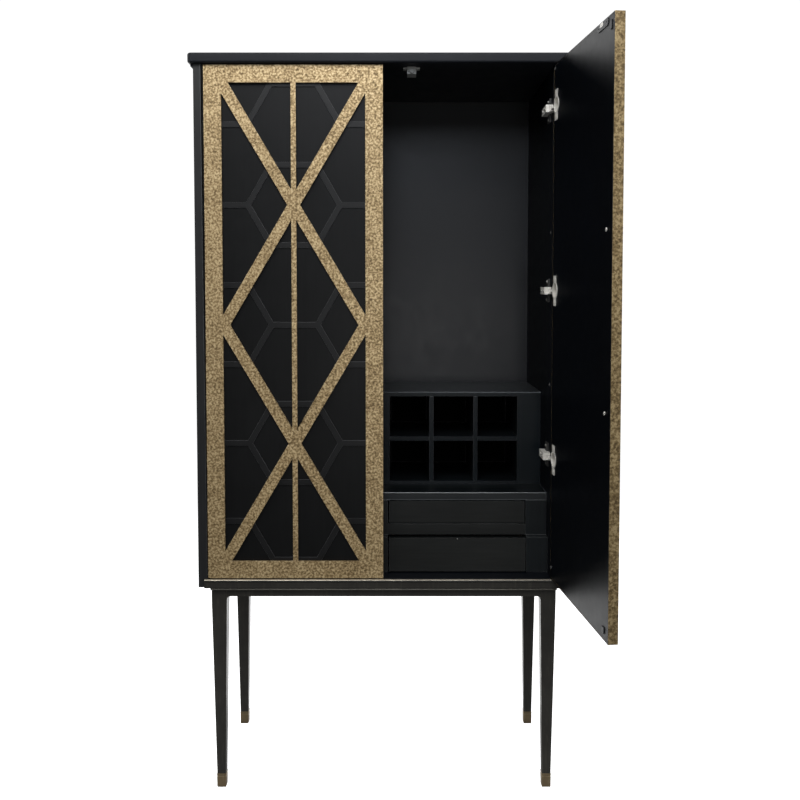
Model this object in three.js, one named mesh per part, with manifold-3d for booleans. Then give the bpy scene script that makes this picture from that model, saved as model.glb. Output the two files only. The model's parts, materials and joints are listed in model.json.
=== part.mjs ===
// Bar armoire: a tall black case on a bronze stand, with two doors that carry a gold fret over a
// hexagon lattice, a bottle rack and four drawers inside. Millimetres, +Z up, front towards -Y.
import * as THREE from 'three';
import { mergeVertices } from 'three/addons/utils/BufferGeometryUtils.js';
import Module from 'manifold-3d';

const wasm = await Module();
wasm.setup();

// Case
const caseWidth = 823;
const caseDepth = 417;
const caseHeight = 1149;
const sidePanelThick = 20;
const liningThick = 20;
const backThick = 16;
const floorThick = 21;
const sideDrop = 19;
const slabThick = 22;
const slabSideOverhang = 11;
const slabFrontOverhang = 11;
const slabEdgeRadius = 4;
const slabEdgeSteps = 3;

// Stand
const standHeight = 459;
const standPlateThick = 4;
const standPlateOverhang = 2;
const standPlateWidth = 26;
const apronHeight = 15;
const apronThick = 16;
const apronFilletRadius = 8;
const filletSteps = 4;
const legTopWidth = 34;
const legBottomWidth = 18.7;
const legStraight = 24;
const legSideInset = 28;
const legFrontInset = 3;
const legSpacingDepth = 301;
const footHeight = 31;
const footProud = 0.6;

// Plinth across the front
const plinthInset = 13.5;
const plinthHeight = 14;
const plinthProud = 4;
const beadHeight = 5.5;
const beadProud = 6;
const beadSteps = 6;

// Doors
const doorThick = 19;
const doorGap = 2;
const doorLiningGap = 2;
const doorFrontSetback = 0;
const fretThick = 5.5;
const fretFrameWidth = 39.5;
const fretDiagonalWidth = 27;
const fretMullionWidth = 14;
const fretEdgeThick = 3;
const seatGap = 0.3;
const latticeHeight = 2.2;
const latticeStripWidth = 12;
const latticeRows = 6;
const latticeOverlap_share = 0.25;
const rightDoorOpenDegrees = 96;
const pivotInset = 3.5;

// Concealed hinges
const hingeHeights_share = [0.2380, 0.5666, 0.9210];
const cupDiameter = 35;
const cupEdgeDistance = 22.5;
const cupDepth = 9.3;
const cupWall = 2;
const cupFloor = 0.9;
const cupSegments = 24;
const flangeLength = 65;
const flangeWidth = 18;
const flangeThick = 1;
const flangeRimWidth = 1.5;
const flangeScrewDiameter = 8;
const flangeScrewHeight = 0.5;
const flangeScrewSpacing = 48;
const screwSegments = 12;
const armLength = 58;
const armHeight = 16;
const armReach = 15.5;
const armStandoff = 1.5;
const forkRadius = 3.5;
const forkHeight = 13;
const forkGap = 6.6;
const linkPinDiameter = 3;
const linkPinClearance = 0.3;
const linkPinInset = 19;
const linkPinDepth = 16;
const linkHeight = 6;
const linkLength = 13;
const linkHubDiameter = 6.8;
const linkTipDiameter = 3.2;
const linkClosedDegrees = 210;
const linkSwing_share = 0.7;
const linkSegments = 12;
const hingePlateLength = 28;
const hingePlateHeight = 52;
const hingePlateThick = 4;
const hingePlateSetback = 23;

// Touch latches
const latchOffset = 62;
const latchWidth = 20;
const latchHeight = 16;
const latchLength = 34;
const latchSetback = 5;
const latchEarSpan = 37;
const latchEarThick = 3;
const latchEarLength = 18;
const plungerDiameter = 9.2;
const plungerClearance = 0.4;
const plungerLength = 25;
const plungerTravel = 3;
const plungerAxisDrop = 10;
const plungerSegments = 16;
const strikeThick = 1.2;

// Drawer case
const drawerCaseTopThick = 17.5;
const columnWidth = 48;
const partitionThick = 18;
const lowerOpeningHeight = 81.5;
const midShelfThick = 25.5;
const upperOpeningHeight = 54.5;
const lowerFrontSetback = 48;
const upperFrontSetback = 68;
const drawerFrontThick = 18;
const drawerFrontGap = 2;
const drawerBoxWall = 9;
const drawerBoxBottom = 8;
const drawerBoxSideGap = 4;
const drawerBoxTopGap = 5;
const drawerBoxRearGap = 15;
const drawerRunGap = 0.4;

// Bottle rack
const rackSetback = 163;
const rackBoardThick = 10.6;
const rackBottomThick = 7.2;
const rackCentreThick = 23.8;
const rackFillerWidth = 56.4;
const rackCellHeight = 96;
const rackColumns = 3;
const rackRows = 2;
const lapClearance = 0.3;

// Overrun of every cutting solid past the faces that it cuts
const cutOverrun = 5;

// Levels and planes that follow from the sizes above
const half = 1 / 2;
const caseHalf = caseWidth * half;
const plinthHalf = caseHalf - plinthInset;
const liningOuter = caseHalf - sidePanelThick;
const interiorHalf = liningOuter - liningThick;
const floorTop = standHeight + floorThick;
const sideBottom = floorTop - sideDrop;
const slabBottom = sideBottom + caseHeight;
const backFace = caseDepth - backThick;
const doorFront = doorFrontSetback;
const doorBack = doorFront + doorThick;
const liningFront = doorBack + doorLiningGap;
const doorOuter = liningOuter - doorGap;
const doorInner = doorGap * half;
const doorWidth = doorOuter - doorInner;
const doorCentre = (doorOuter + doorInner) * half;
const doorBottom = floorTop + doorGap;
const doorTop = slabBottom - doorGap;
const doorHeight = doorTop - doorBottom;
const doorMiddle = (doorTop + doorBottom) * half;
const pivotX = doorOuter - pivotInset;
const pivotY = doorFront + pivotInset;
const panelFront = doorFront + fretThick + seatGap;
const panelFace = panelFront + latticeHeight;
const fretOpeningWidth = doorWidth - 2 * fretFrameWidth;
const fretOpeningHeight = doorHeight - 2 * fretFrameWidth;
const panelWidth = doorWidth - 2 * (fretEdgeThick + seatGap);
const panelHeight = doorHeight - 2 * (fretEdgeThick + seatGap);
const hingeHeights = hingeHeights_share.map((share) => doorBottom + share * doorHeight);
const cupX = doorOuter - cupEdgeDistance;
const lowerOpeningTop = floorTop + lowerOpeningHeight;
const upperOpeningBottom = lowerOpeningTop + midShelfThick;
const upperOpeningTop = upperOpeningBottom + upperOpeningHeight;
const drawerCaseTop = upperOpeningTop + drawerCaseTopThick;
const columnInner = interiorHalf - columnWidth;
const partitionHalf = partitionThick * half;
const rackInner = rackCentreThick * half;
const rackOuter = interiorHalf - rackFillerWidth;
const rackCellsWidth = rackOuter - rackInner - (rackColumns - 1) * rackBoardThick;
const rackCellWidth = rackCellsWidth / rackColumns;
const rackCellBottom = drawerCaseTop + rackBottomThick;
const rackCellTop = rackCellBottom + rackRows * rackCellHeight + (rackRows - 1) * rackBoardThick;
const rackTop = rackCellTop + rackBoardThick;
const rackDepth = backFace - rackSetback;
const plungerAxis = slabBottom - plungerAxisDrop;
const strikeBack = doorBack + seatGap + strikeThick;
const linkPinX = pivotX - linkPinInset;
const linkPinY = pivotY + linkPinDepth;

const armoire = new THREE.Group();

function finish(color, roughness, metalness) {
  return () => new THREE.MeshStandardMaterial({ color, roughness, metalness });
}

const charcoal = finish(0x2d2d30, 0.45, 0);
const slabBlack = finish(0x3a3a3e, 0.4, 0);
const glossBlack = finish(0x111114, 0.15, 0);
const satinBlack = finish(0x1b1b1e, 0.5, 0);
const gold = finish(0xb0915f, 0.4, 0.9);
const bronze = finish(0x302d26, 0.45, 0.7);
const brass = finish(0x6e5f3c, 0.35, 0.9);
const nickel = finish(0xc8c3b9, 0.3, 1);
const drawerWood = finish(0x6b5a45, 0.7, 0);
const greyPlastic = finish(0xb9b9b6, 0.5, 0);

function add(parent, name, geometry, material) {
  const mesh = new THREE.Mesh(geometry, material());
  mesh.name = name;
  parent.add(mesh);
  return mesh;
}

// A block between two planes on each axis
function block([x0, x1], [y0, y1], [z0, z1]) {
  const geometry = new THREE.BoxGeometry(Math.abs(x1 - x0), Math.abs(y1 - y0), Math.abs(z1 - z0));
  geometry.translate((x0 + x1) * half, (y0 + y1) * half, (z0 + z1) * half);
  return geometry;
}

// The same block on the left or the right of the cabinet
function sidedBlock(hand, [x0, x1], ys, zs) {
  return block([hand * x0, hand * x1], ys, zs);
}

function outline(points) {
  return new THREE.Shape(points.map(([u, v]) => new THREE.Vector2(u, v)));
}

// An outline in X and Z, extruded along Y from y0 to y1
function extrudeAlongY(shape, y0, y1, steps) {
  const settings = { depth: y1 - y0, bevelEnabled: false, curveSegments: steps };
  const geometry = new THREE.ExtrudeGeometry(shape, settings);
  geometry.rotateX(Math.PI * half);
  geometry.translate(0, y1, 0);
  return geometry;
}

// An outline in Y and Z, extruded along X from x0 to x1
function extrudeAlongX(shape, x0, x1) {
  const low = Math.min(x0, x1);
  const geometry = new THREE.ExtrudeGeometry(shape, { depth: Math.abs(x1 - x0), bevelEnabled: false });
  geometry.rotateY(Math.PI * half);
  geometry.rotateX(Math.PI * half);
  geometry.translate(low, 0, 0);
  return geometry;
}

// An outline in X and Y, extruded up from z0 to z1
function extrudeUp(shape, z0, z1) {
  const geometry = new THREE.ExtrudeGeometry(shape, { depth: z1 - z0, bevelEnabled: false });
  geometry.translate(0, 0, z0);
  return geometry;
}

function cylinderAlongY(radius, y0, y1, x, z, segments) {
  const geometry = new THREE.CylinderGeometry(radius, radius, y1 - y0, segments);
  geometry.translate(x, (y0 + y1) * half, z);
  return geometry;
}

function cylinderUp(radius, height, x, y, segments) {
  const geometry = new THREE.CylinderGeometry(radius, radius, height, segments);
  geometry.rotateX(Math.PI * half);
  geometry.translate(x, y, 0);
  return geometry;
}

function toSolid(geometry) {
  const bare = geometry.clone();
  bare.deleteAttribute('normal');
  bare.deleteAttribute('uv');
  const merged = mergeVertices(bare);
  const vertProperties = new Float32Array(merged.attributes.position.array);
  const triVerts = new Uint32Array(merged.index.array);
  return new wasm.Manifold(new wasm.Mesh({ numProp: 3, vertProperties, triVerts }));
}

function fromSolid(solid) {
  const mesh = solid.getMesh();
  const geometry = new THREE.BufferGeometry();
  geometry.setAttribute('position', new THREE.BufferAttribute(mesh.vertProperties, 3));
  geometry.setIndex(new THREE.BufferAttribute(mesh.triVerts, 1));
  geometry.computeVertexNormals();
  return geometry;
}

function joined(geometries) {
  return geometries.map(toSolid).reduce((sum, solid) => sum.add(solid));
}

const sides = [['left', -1], ['right', 1]];

// Case: slab, sides, floor and back
function makeSlab() {
  const width = caseWidth + 2 * (slabSideOverhang - slabEdgeRadius);
  const front = -slabFrontOverhang + slabEdgeRadius;
  const back = caseDepth - slabEdgeRadius;
  const shape = outline([
    [-width * half, front],
    [width * half, front],
    [width * half, back],
    [-width * half, back],
  ]);
  const settings = {
    depth: slabThick - 2 * slabEdgeRadius,
    bevelEnabled: true,
    bevelSize: slabEdgeRadius,
    bevelThickness: slabEdgeRadius,
    bevelSegments: slabEdgeSteps,
  };
  const geometry = new THREE.ExtrudeGeometry(shape, settings);
  geometry.translate(0, 0, slabBottom + slabEdgeRadius);
  add(armoire, 'top_slab', geometry, slabBlack);
}

// A side in plan: the outer panel with the lining on its inner face
function makeSide(name, hand) {
  const panel = sidedBlock(hand, [liningOuter, caseHalf], [0, caseDepth], [sideBottom, slabBottom]);
  const lining = sidedBlock(
    hand,
    [interiorHalf, liningOuter],
    [liningFront, backFace],
    [floorTop, slabBottom],
  );
  add(armoire, `case_side_${name}`, fromSolid(joined([panel, lining])), charcoal);
}

function makeCase() {
  makeSlab();
  sides.forEach(([name, hand]) => makeSide(name, hand));
  const floor = block([-liningOuter, liningOuter], [0, backFace], [standHeight, floorTop]);
  add(armoire, 'case_floor', floor, charcoal);
  const back = block([-liningOuter, liningOuter], [backFace, caseDepth], [sideBottom, slabBottom]);
  add(armoire, 'back_panel', back, satinBlack);
}

// Plinth rail with a half-round bead along its top edge, one moulding
function makePlinth() {
  const beadBottom = floorTop - seatGap - beadHeight;
  const radius = beadHeight * half;
  const quarterTurn = Math.PI * half;
  const section = new THREE.Shape();
  section.moveTo(0, beadBottom - plinthHeight);
  section.lineTo(-plinthProud, beadBottom - plinthHeight);
  section.lineTo(-plinthProud, beadBottom);
  section.lineTo(-beadProud + radius, beadBottom);
  section.absarc(-beadProud + radius, beadBottom + radius, radius, -quarterTurn, -3 * quarterTurn, true);
  section.lineTo(0, beadBottom + beadHeight);
  const settings = { depth: 2 * plinthHalf, bevelEnabled: false, curveSegments: beadSteps };
  const rail = new THREE.ExtrudeGeometry(section, settings);
  rail.rotateY(quarterTurn);
  rail.rotateX(quarterTurn);
  rail.translate(-plinthHalf, 0, 0);
  add(armoire, 'plinth_rail', rail, bronze);
}

// Stand: a ring plate with an apron between the legs, four legs and four feet
const legCentreX = caseHalf - legSideInset - legTopWidth * half;
const legFrontY = legFrontInset + legTopWidth * half;
const legRearY = legFrontY + legSpacingDepth;
const legTop = standHeight - standPlateThick;
const apronBottom = legTop - apronHeight;

// The lower edge runs into the legs with a small concave fillet at each end
function apronOutline(halfLength) {
  const r = apronFilletRadius;
  const shape = new THREE.Shape();
  shape.moveTo(-halfLength, legTop);
  shape.lineTo(-halfLength, apronBottom - r);
  shape.absarc(-halfLength + r, apronBottom - r, r, Math.PI, Math.PI * half, true);
  shape.lineTo(halfLength - r, apronBottom);
  shape.absarc(halfLength - r, apronBottom - r, r, Math.PI * half, 0, true);
  shape.lineTo(halfLength, legTop);
  return shape;
}

function makeStandFrame() {
  const outerX = legCentreX + legTopWidth * half + standPlateOverhang;
  const frontY = legFrontY - legTopWidth * half - standPlateOverhang;
  const rearY = legRearY + legTopWidth * half + standPlateOverhang;
  const plateOuter = block([-outerX, outerX], [frontY, rearY], [legTop, standHeight]);
  const plateInner = block(
    [-outerX + standPlateWidth, outerX - standPlateWidth],
    [frontY + standPlateWidth, rearY - standPlateWidth],
    [legTop - cutOverrun, standHeight + cutOverrun],
  );
  const plate = toSolid(plateOuter).subtract(toSolid(plateInner));
  const acrossHalf = legCentreX - legTopWidth * half;
  const alongHalf = (legSpacingDepth - legTopWidth) * half;
  const alongMiddle = (legFrontY + legRearY) * half;
  const acrossFace = legFrontY - legTopWidth * half;
  const rearFace = legRearY + legTopWidth * half;
  const across = apronOutline(acrossHalf);
  const along = apronOutline(alongHalf);
  const frontApron = extrudeAlongY(across, acrossFace, acrossFace + apronThick, filletSteps);
  const rearApron = extrudeAlongY(across, rearFace - apronThick, rearFace, filletSteps);
  const sideAprons = sides.map(([, hand]) => {
    const apron = extrudeAlongY(along, 0, apronThick, filletSteps);
    apron.rotateZ(Math.PI * half);
    const faceX = legCentreX + legTopWidth * half;
    const x = hand > 0 ? faceX : apronThick - faceX;
    apron.translate(x, alongMiddle, 0);
    return apron;
  });
  const aprons = joined([frontApron, rearApron, ...sideAprons]);
  add(armoire, 'stand_frame', fromSolid(plate.add(aprons)), bronze);
}

// A square post that turns a profile of half widths and heights through four sides
function squarePost(profile) {
  const points = profile.map(([halfWidth, z]) => new THREE.Vector2(halfWidth * Math.SQRT2, z));
  const geometry = new THREE.LatheGeometry(points, 4, Math.PI / 4);
  geometry.rotateX(Math.PI * half);
  return geometry;
}

function makeLegs() {
  const taperTop = legTop - legStraight;
  const topHalf = legTopWidth * half;
  const bottomHalf = legBottomWidth * half;
  const footTopHalf = bottomHalf + ((topHalf - bottomHalf) * footHeight) / taperTop;
  const places = [
    ['front_left', -legCentreX, legFrontY],
    ['front_right', legCentreX, legFrontY],
    ['rear_left', -legCentreX, legRearY],
    ['rear_right', legCentreX, legRearY],
  ];
  places.forEach(([name, x, y]) => {
    const leg = squarePost([
      [0, footHeight],
      [footTopHalf, footHeight],
      [topHalf, taperTop],
      [topHalf, legTop],
      [0, legTop],
    ]);
    leg.translate(x, y, 0);
    add(armoire, `leg_${name}`, leg, bronze);
    const foot = squarePost([
      [0, 0],
      [bottomHalf + footProud, 0],
      [footTopHalf + footProud, footHeight],
      [0, footHeight],
    ]);
    foot.translate(x, y, 0);
    add(armoire, `foot_${name}`, foot, brass);
  });
}

// Drawer case: the columns and the divider's upright step back above the lower drawers
function steppedUpright(x0, x1) {
  return extrudeAlongX(
    outline([
      [lowerFrontSetback, floorTop],
      [backFace, floorTop],
      [backFace, upperOpeningTop],
      [upperFrontSetback, upperOpeningTop],
      [upperFrontSetback, lowerOpeningTop],
      [lowerFrontSetback, lowerOpeningTop],
    ]),
    x0,
    x1,
  );
}

function makeDrawerCase() {
  const topLevels = [upperOpeningTop, drawerCaseTop];
  const top = block([-interiorHalf, interiorHalf], [upperFrontSetback, backFace], topLevels);
  add(armoire, 'drawer_case_top', top, glossBlack);
  const shelfLevels = [lowerOpeningTop, upperOpeningBottom];
  const shelf = block([-columnInner, columnInner], [upperFrontSetback, backFace], shelfLevels);
  const divider = joined([steppedUpright(-partitionHalf, partitionHalf), shelf]);
  add(armoire, 'drawer_divider', fromSolid(divider), satinBlack);
  sides.forEach(([name, hand]) => {
    add(armoire, `column_${name}`, steppedUpright(hand * columnInner, hand * interiorHalf), satinBlack);
  });
}

// A drawer is a front and an open box that runs on the board below it
function makeDrawer(name, hand, setback, bottom, top) {
  const x0 = partitionHalf + drawerFrontGap;
  const x1 = columnInner - drawerFrontGap;
  const frontBack = setback + drawerFrontThick;
  const frontLevels = [bottom + drawerFrontGap, top - drawerFrontGap];
  const front = sidedBlock(hand, [x0, x1], [setback, frontBack], frontLevels);
  add(armoire, `drawer_front_${name}`, front, satinBlack);
  const b0 = x0 + drawerBoxSideGap;
  const b1 = x1 - drawerBoxSideGap;
  const boxBottom = bottom + drawerRunGap;
  const boxTop = top - drawerBoxTopGap;
  const boxBack = backFace - drawerBoxRearGap;
  const outer = sidedBlock(hand, [b0, b1], [frontBack, boxBack], [boxBottom, boxTop]);
  const inner = sidedBlock(
    hand,
    [b0 + drawerBoxWall, b1 - drawerBoxWall],
    [frontBack + drawerBoxWall, boxBack - drawerBoxWall],
    [boxBottom + drawerBoxBottom, boxTop + cutOverrun],
  );
  add(armoire, `drawer_box_${name}`, fromSolid(toSolid(outer).subtract(toSolid(inner))), drawerWood);
}

function makeDrawers() {
  sides.forEach(([name, hand]) => {
    makeDrawer(`lower_${name}`, hand, lowerFrontSetback, floorTop, lowerOpeningTop);
    makeDrawer(`upper_${name}`, hand, upperFrontSetback, upperOpeningBottom, upperOpeningTop);
  });
}

// Bottle rack: a carcass with two bays, each with a shelf and dividers halved into one another
function makeRackCarcass() {
  const outer = block([-interiorHalf, interiorHalf], [rackSetback, backFace], [drawerCaseTop, rackTop]);
  const bays = sides.map(([, hand]) => sidedBlock(
    hand,
    [rackInner, rackOuter],
    [rackSetback - cutOverrun, backFace + cutOverrun],
    [rackCellBottom, rackCellTop],
  ));
  add(armoire, 'rack_carcass', fromSolid(toSolid(outer).subtract(joined(bays))), glossBlack);
}

function dividerStart(column) {
  return rackInner + (column + 1) * rackCellWidth + column * rackBoardThick;
}

function shelfLevel(row) {
  return rackCellBottom + (row + 1) * rackCellHeight + row * rackBoardThick;
}

const lapY = rackSetback + rackDepth * half;

// In plan, with a slot from the front edge for each divider
function makeRackShelf(name, hand, row) {
  const points = [[rackInner, backFace], [rackInner, rackSetback]];
  for (let column = 0; column < rackColumns - 1; column += 1) {
    const x0 = dividerStart(column) - lapClearance;
    const x1 = dividerStart(column) + rackBoardThick + lapClearance;
    points.push([x0, rackSetback], [x0, lapY], [x1, lapY], [x1, rackSetback]);
  }
  points.push([rackOuter, rackSetback], [rackOuter, backFace]);
  const shape = outline(points.map(([x, y]) => [hand * x, y]));
  const level = shelfLevel(row);
  add(armoire, `rack_shelf_${name}`, extrudeUp(shape, level, level + rackBoardThick), glossBlack);
}

// In side view, with a slot from the back edge for each shelf
function makeRackDivider(name, hand, column) {
  const points = [[backFace, rackCellBottom], [rackSetback, rackCellBottom]];
  points.push([rackSetback, rackCellTop], [backFace, rackCellTop]);
  for (let row = rackRows - 2; row >= 0; row -= 1) {
    const z1 = shelfLevel(row) + rackBoardThick + lapClearance;
    const z0 = shelfLevel(row) - lapClearance;
    points.push([backFace, z1], [lapY - lapClearance, z1], [lapY - lapClearance, z0], [backFace, z0]);
  }
  const x = dividerStart(column);
  const board = extrudeAlongX(outline(points), hand * x, hand * (x + rackBoardThick));
  add(armoire, `rack_divider_${name}_${column + 1}`, board, glossBlack);
}

function makeRack() {
  makeRackCarcass();
  sides.forEach(([name, hand]) => {
    for (let row = 0; row < rackRows - 1; row += 1) {
      makeRackShelf(rackRows > 2 ? `${name}_${row + 1}` : name, hand, row);
    }
    for (let column = 0; column < rackColumns - 1; column += 1) {
      makeRackDivider(name, hand, column);
    }
  });
}

// Doors, built closed around their own centre line and then hung on their pivots
// A flat strip from one point to another in the door's plane
function strip([x0, z0], [x1, z1], width, y0, y1, extra) {
  const length = Math.hypot(x1 - x0, z1 - z0) + 2 * extra;
  const geometry = new THREE.BoxGeometry(length, y1 - y0, width);
  geometry.rotateY(-Math.atan2(z1 - z0, x1 - x0));
  geometry.translate((x0 + x1) * half, (y0 + y1) * half, (z0 + z1) * half);
  return geometry;
}

// Two crossed zigzags that meet the stiles halfway up, with a mullion between them
function fretStrips() {
  const w = fretOpeningWidth * half;
  const levels = [-2, -1, 0, 1, 2];
  const h = fretOpeningHeight / (levels.length - 1);
  const strips = [strip([0, -2 * h], [0, 2 * h], fretMullionWidth, doorFront, doorFront + fretThick, 0)];
  [-1, 1].forEach((start) => {
    const points = levels.map((level) => {
      const x = level % 2 === 0 ? start * (1 - Math.abs(level)) * w : 0;
      return [x, level * h];
    });
    points.slice(1).forEach((point, i) => {
      const args = [points[i], point, fretDiagonalWidth, doorFront, doorFront + fretThick];
      strips.push(strip(...args, fretDiagonalWidth * half));
    });
  });
  return strips;
}

function fretGeometry() {
  const w = doorWidth * half;
  const h = doorHeight * half;
  const ow = fretOpeningWidth * half;
  const oh = fretOpeningHeight * half;
  const ew = w - fretEdgeThick;
  const eh = h - fretEdgeThick;
  const outer = toSolid(block([-w, w], [doorFront, doorBack], [-h, h]));
  const hollow = block([-ew, ew], [doorFront + fretThick, doorBack + cutOverrun], [-eh, eh]);
  const openingYs = [doorFront - cutOverrun, doorFront + fretThick + cutOverrun];
  const opening = toSolid(block([-ow, ow], openingYs, [-oh, oh]));
  const reach = block([-ow - cutOverrun, ow + cutOverrun], openingYs, [-oh - cutOverrun, oh + cutOverrun]);
  const strips = joined(fretStrips()).intersect(toSolid(reach));
  return fromSolid(outer.subtract(toSolid(hollow)).subtract(opening).add(strips));
}

// Flat-topped hexagons in one full column, with their neighbours cut by the frame
function latticeStrips() {
  const pitch = fretOpeningHeight / latticeRows;
  const side = pitch / Math.sqrt(3);
  const bottom = -fretOpeningHeight * half;
  const reach = fretOpeningWidth * half + latticeStripWidth;
  const y0 = panelFront;
  const y1 = panelFace + latticeHeight;
  const strips = [];
  const overlap = latticeOverlap_share * latticeStripWidth;
  const put = (a, b) => strips.push(strip(a, b, latticeStripWidth, y0, y1, overlap));
  for (let row = 0; row <= latticeRows; row += 1) {
    const z = bottom + row * pitch;
    put([-side * half, z], [side * half, z]);
    if (row < latticeRows) {
      [-1, 1].forEach((hand) => {
        put([hand * side * half, z], [hand * side, z + pitch * half]);
        put([hand * side, z + pitch * half], [hand * side * half, z + pitch]);
        put([hand * side, z + pitch * half], [hand * reach, z + pitch * half]);
      });
    }
  }
  return strips;
}

function panelGeometry(hand) {
  const w = panelWidth * half;
  const h = panelHeight * half;
  const board = toSolid(block([-w, w], [panelFace, doorBack], [-h, h]));
  const lattice = joined(latticeStrips());
  const holes = hingeHeights.map((z) => {
    const radius = cupDiameter * half + seatGap;
    const bottom = doorBack - cupDepth - seatGap;
    const x = hand * (cupX - doorCentre);
    return cylinderAlongY(radius, bottom, doorBack + cutOverrun, x, z - doorMiddle, cupSegments);
  });
  return fromSolid(board.add(lattice).subtract(joined(holes)));
}

// Cup, flange and two screw heads, on the door's inner face
function cupGeometry() {
  const seat = doorBack + seatGap;
  const face = seat + flangeThick;
  const cup = cylinderAlongY(cupDiameter * half, seat - cupDepth, face, 0, 0, cupSegments);
  const rim = cylinderAlongY(cupDiameter * half + flangeRimWidth, seat, face, 0, 0, cupSegments);
  const bar = block(
    [-flangeWidth * half, flangeWidth * half],
    [seat, face],
    [-flangeLength * half, flangeLength * half],
  );
  const headFace = face + flangeScrewHeight;
  const screws = [-1, 1].map((end) => {
    const z = end * flangeScrewSpacing * half;
    return cylinderAlongY(flangeScrewDiameter * half, seat, headFace, 0, z, screwSegments);
  });
  const floor = seat - cupDepth + cupFloor;
  const cavityRadius = cupDiameter * half - cupWall;
  const cavity = cylinderAlongY(cavityRadius, floor, face + cutOverrun, 0, 0, cupSegments);
  return fromSolid(joined([cup, rim, bar, ...screws]).subtract(toSolid(cavity)));
}

function makeDoor(name, hand, openDegrees) {
  const door = new THREE.Group();
  door.position.set(hand * pivotX, pivotY, 0);
  door.rotation.z = hand * THREE.MathUtils.degToRad(openDegrees);
  armoire.add(door);
  const closedX = hand * (doorCentre - pivotX);
  const fret = add(door, `door_fret_${name}`, fretGeometry(), gold);
  fret.position.set(closedX, -pivotY, doorMiddle);
  const panel = add(door, `door_panel_${name}`, panelGeometry(hand), satinBlack);
  panel.position.set(closedX, -pivotY, doorMiddle);
  hingeHeights.forEach((z, i) => {
    const cup = add(door, `hinge_cup_${name}_${i + 1}`, cupGeometry(), nickel);
    cup.position.set(hand * (cupX - pivotX), -pivotY, z);
  });
}

// Hinge arm on its plate, ending in a fork that carries the link's pin
function makeHingeArm(name, hand, z, number) {
  const armFront = liningFront + armStandoff;
  const inner = interiorHalf - armReach;
  const arm = sidedBlock(
    hand,
    [inner, interiorHalf],
    [armFront, armFront + armLength],
    [-armHeight * half, armHeight * half],
  );
  const fork = sidedBlock(
    hand,
    [linkPinX - forkRadius, linkPinX + forkRadius],
    [linkPinY - forkRadius, armFront + forkRadius],
    [-forkHeight * half, forkHeight * half],
  );
  const slotBack = linkPinY + linkHubDiameter * half + linkPinClearance;
  const slot = sidedBlock(
    hand,
    [inner - cutOverrun, interiorHalf + cutOverrun],
    [linkPinY - forkRadius - cutOverrun, slotBack],
    [-forkGap * half, forkGap * half],
  );
  const plateFront = liningFront + hingePlateSetback;
  const plate = sidedBlock(
    hand,
    [interiorHalf - hingePlateThick, interiorHalf],
    [plateFront, plateFront + hingePlateLength],
    [-hingePlateHeight * half, hingePlateHeight * half],
  );
  const pin = cylinderUp(linkPinDiameter * half, forkHeight, hand * linkPinX, linkPinY, linkSegments);
  const forked = joined([arm, fork, plate]).subtract(toSolid(slot)).add(toSolid(pin));
  const mesh = add(armoire, `hinge_arm_${name}_${number}`, fromSolid(forked), nickel);
  mesh.position.z = z;
}

// Link on the fork's pin, whose tip follows the cup as the door swings
function makeHingeLink(name, hand, z, number, openDegrees) {
  const angle = THREE.MathUtils.degToRad(linkClosedDegrees);
  const hub = cylinderUp(linkHubDiameter * half, linkHeight, 0, 0, linkSegments);
  const tip = cylinderUp(linkTipDiameter * half, linkHeight, linkLength, 0, linkSegments);
  const bar = block(
    [0, linkLength],
    [-linkTipDiameter * half, linkTipDiameter * half],
    [-linkHeight * half, linkHeight * half],
  );
  const bore = cylinderUp(
    linkPinDiameter * half + linkPinClearance,
    linkHeight + 2 * cutOverrun,
    0,
    0,
    linkSegments,
  );
  const link = fromSolid(joined([hub, tip, bar]).subtract(toSolid(bore)));
  const mesh = add(armoire, `hinge_link_${name}_${number}`, link, nickel);
  const closed = hand > 0 ? angle : Math.PI - angle;
  mesh.rotation.z = closed + hand * linkSwing_share * THREE.MathUtils.degToRad(openDegrees);
  mesh.position.set(hand * linkPinX, linkPinY, z);
}

// Touch latch: a body with ears under the slab and a plunger in its bore
function makeLatch(name, hand) {
  const x = hand * latchOffset;
  const front = liningFront + latchSetback;
  const body = block(
    [x - latchWidth * half, x + latchWidth * half],
    [front, front + latchLength],
    [slabBottom - latchHeight, slabBottom],
  );
  const earsFront = front + (latchLength - latchEarLength) * half;
  const ears = block(
    [x - latchEarSpan * half, x + latchEarSpan * half],
    [earsFront, earsFront + latchEarLength],
    [slabBottom - latchEarThick, slabBottom],
  );
  const tip = strikeBack + seatGap;
  const tail = tip + plungerLength;
  const boreEnd = tail + plungerTravel + plungerClearance;
  const boreRadius = plungerDiameter * half + plungerClearance;
  const bore = cylinderAlongY(boreRadius, front - cutOverrun, boreEnd, x, plungerAxis, plungerSegments);
  const shell = joined([body, ears]).subtract(toSolid(bore));
  add(armoire, `latch_body_${name}`, fromSolid(shell), greyPlastic);
  const plunger = cylinderAlongY(plungerDiameter * half, tip, tail, x, plungerAxis, plungerSegments);
  add(armoire, `latch_plunger_${name}`, plunger, greyPlastic);
}

makeCase();
makePlinth();
makeStandFrame();
makeLegs();
makeDrawerCase();
makeDrawers();
makeRack();
sides.forEach(([name, hand]) => {
  const openDegrees = hand > 0 ? rightDoorOpenDegrees : 0;
  makeDoor(name, hand, openDegrees);
  hingeHeights.forEach((z, i) => {
    makeHingeArm(name, hand, z, i + 1);
    makeHingeLink(name, hand, z, i + 1, openDegrees);
  });
  makeLatch(name, hand);
});

// The origin is the centre of the bottom of the whole outline, with the open door counted
armoire.updateMatrixWorld(true);
const bounds = new THREE.Box3().setFromObject(armoire, true);
const middle = bounds.getCenter(new THREE.Vector3());
armoire.position.set(-middle.x, -middle.y, -bounds.min.z);

export default armoire;
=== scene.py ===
import json
import math

import bpy
from mathutils import Matrix, Vector


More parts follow.
